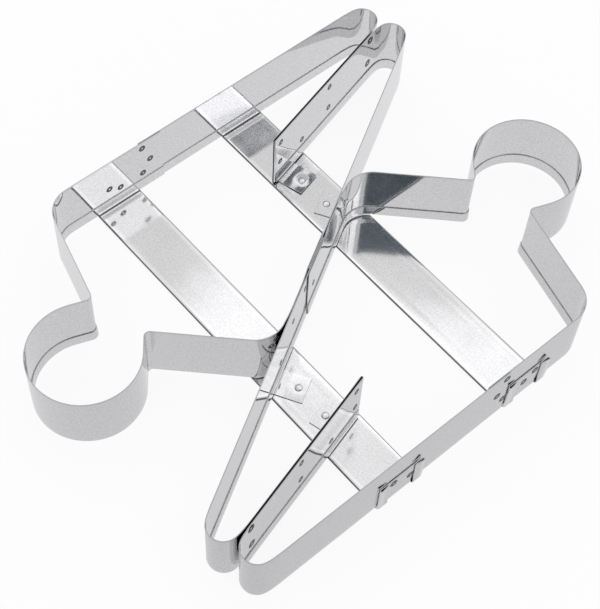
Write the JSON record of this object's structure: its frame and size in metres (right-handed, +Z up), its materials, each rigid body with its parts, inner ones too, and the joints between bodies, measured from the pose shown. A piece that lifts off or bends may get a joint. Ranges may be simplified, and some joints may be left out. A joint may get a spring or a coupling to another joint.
{
  "type": "cookie cutter",
  "caption": "Open tinplate cutter for a pair of man-shaped biscuits set head to foot, with hemmed strips riveted and spot-welded to flat cross bars.",
  "frame": {"origin": "on the ground under the middle of the cutter, which is the axis of its half-turn symmetry", "axes": "+Z up towards the cutting edges, +X along the cross bars, +Y along the two straight long sides"},
  "size_m": [0.1874, 0.252, 0.032],
  "materials": {
    "strip_tinplate": "bright tinplate, as rolled",
    "bar_tinplate": "bright tinplate, as rolled",
    "bracket_tinplate": "bright tinplate, as rolled",
    "rivet_steel": "tinned mild steel, cold formed"
  },
  "bodies": {
    "root": {"head_strip_a": "strip_tinplate", "leg_strip_a": "strip_tinplate", "cross_bar_a": "bar_tinplate", "crotch_bracket_a": "bracket_tinplate", "crotch_rivet_a": "rivet_steel", "divider_bracket_a": "bracket_tinplate", "divider_rivet_a": "rivet_steel", "head_strip_b": "strip_tinplate", "leg_strip_b": "strip_tinplate", "cross_bar_b": "bar_tinplate", "crotch_bracket_b": "bracket_tinplate", "crotch_rivet_b": "rivet_steel", "divider_bracket_b": "bracket_tinplate", "divider_rivet_b": "rivet_steel"}
  },
  "joints": []
}
